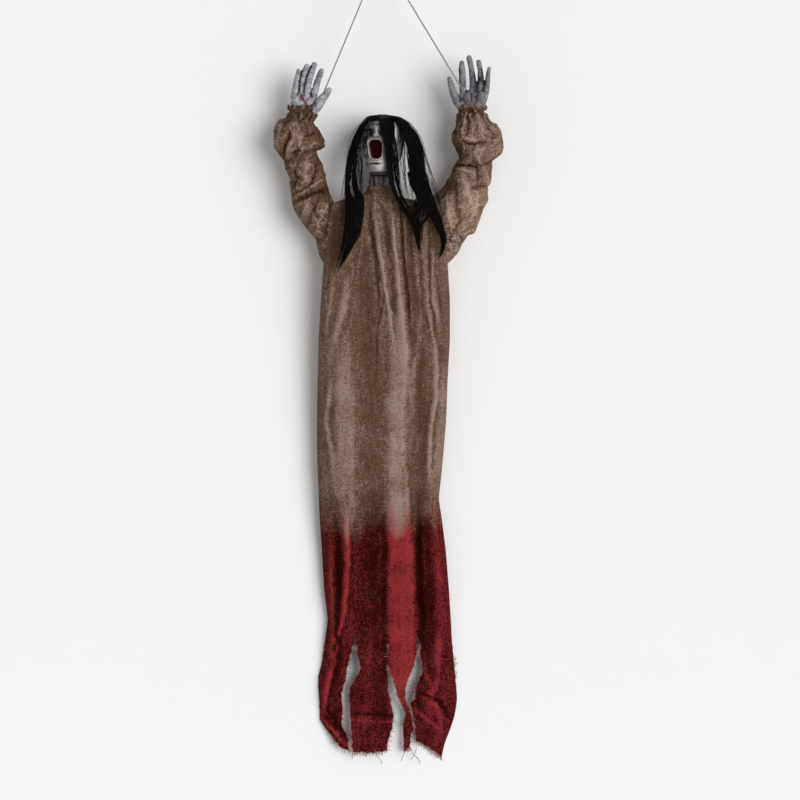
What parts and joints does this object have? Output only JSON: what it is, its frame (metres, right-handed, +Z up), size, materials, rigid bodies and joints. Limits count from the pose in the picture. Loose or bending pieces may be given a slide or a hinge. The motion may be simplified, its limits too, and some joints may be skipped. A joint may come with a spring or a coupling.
{
  "type": "hanging ghost decoration",
  "caption": "Long-haired screaming ghost in a torn burlap gown dip-dyed red, hung by its raised hands from a cord, ring and ceiling hook; head and hands turn.",
  "frame": {"origin": "centre of the ceiling plate's flat top face, which lies against the ceiling", "axes": "+Z up along the hook's stem; the figure hangs down along -Z and faces -Y; +X is to the viewer's right, so the figure's own left"},
  "size_m": [0.4764, 0.1273, 1.8034],
  "materials": {
    "steel": "satin",
    "white_metal": "satin white paint",
    "cord_grey": "thin braided cord",
    "twine_rust": "rust-red twine",
    "grey_skin": "grey-white, darker at the finger tips",
    "pale_face": "pale grey paint with dark red washes",
    "burlap": "coarse brown burlap, dip-dyed dark red below",
    "wadding": "loose polyester wadding",
    "black_hair": "long black synthetic hair",
    "galvanised": "galvanised wire",
    "grey_plastic": "plain moulded plastic"
  },
  "bodies": {
    "hook": {"ceiling_plate": "white_metal", "ceiling_hook": "steel"},
    "ring": {"hanging_ring": "steel"},
    "figure": {"hanging_loop": "cord_grey", "left_cord": "cord_grey", "right_cord": "cord_grey", "left_wrist_knot": "cord_grey", "right_wrist_knot": "cord_grey", "left_wrist_tie": "twine_rust", "right_wrist_tie": "twine_rust", "arm_wire": "galvanised", "left_arm_stuffing": "wadding", "right_arm_stuffing": "wadding", "chest_stuffing": "wadding", "left_sleeve": "burlap", "right_sleeve": "burlap", "gown_front": "burlap", "gown_back": "burlap", "neck_post": "grey_plastic"},
    "head": {"neck_plug": "grey_plastic", "face_shell": "pale_face", "head_back_shell": "pale_face", "wig_cap": "black_hair", "wig_skirt": "black_hair", "wig_fringe": "black_hair", "left_lock": "black_hair", "right_lock": "black_hair", "right_strand": "black_hair", "back_hair": "black_hair"},
    "left_hand": {"left_hand": "grey_skin"},
    "right_hand": {"right_hand": "grey_skin"}
  },
  "joints": [
    {"name": "side_swing", "type": "hinge", "parent": "hook", "child": "ring", "pos_m": [0, 0, -0.043], "axis": [0, 1, 0], "range_deg": [-15, 15]},
    {"name": "fore_aft_swing", "type": "hinge", "parent": "ring", "child": "figure", "pos_m": [0, 0, -0.07095], "axis": [1, 0, 0], "range_deg": [-20, 20]},
    {"name": "head_turn", "type": "hinge", "parent": "figure", "child": "head", "pos_m": [-0.004, 0, -0.58865], "axis": [0, 0, 1], "range_deg": [-30, 30], "deforming": ["left_lock", "right_lock", "right_strand", "back_hair"]},
    {"name": "left_hand_turn", "type": "hinge", "parent": "figure", "child": "left_hand", "pos_m": [-0.169, 0, -0.42145], "axis": [0, 0, 1], "range_deg": [-25, 4]},
    {"name": "right_hand_turn", "type": "hinge", "parent": "figure", "child": "right_hand", "pos_m": [0.193, 0, -0.42145], "axis": [0, 0, 1], "range_deg": [-25, 15]}
  ]
}
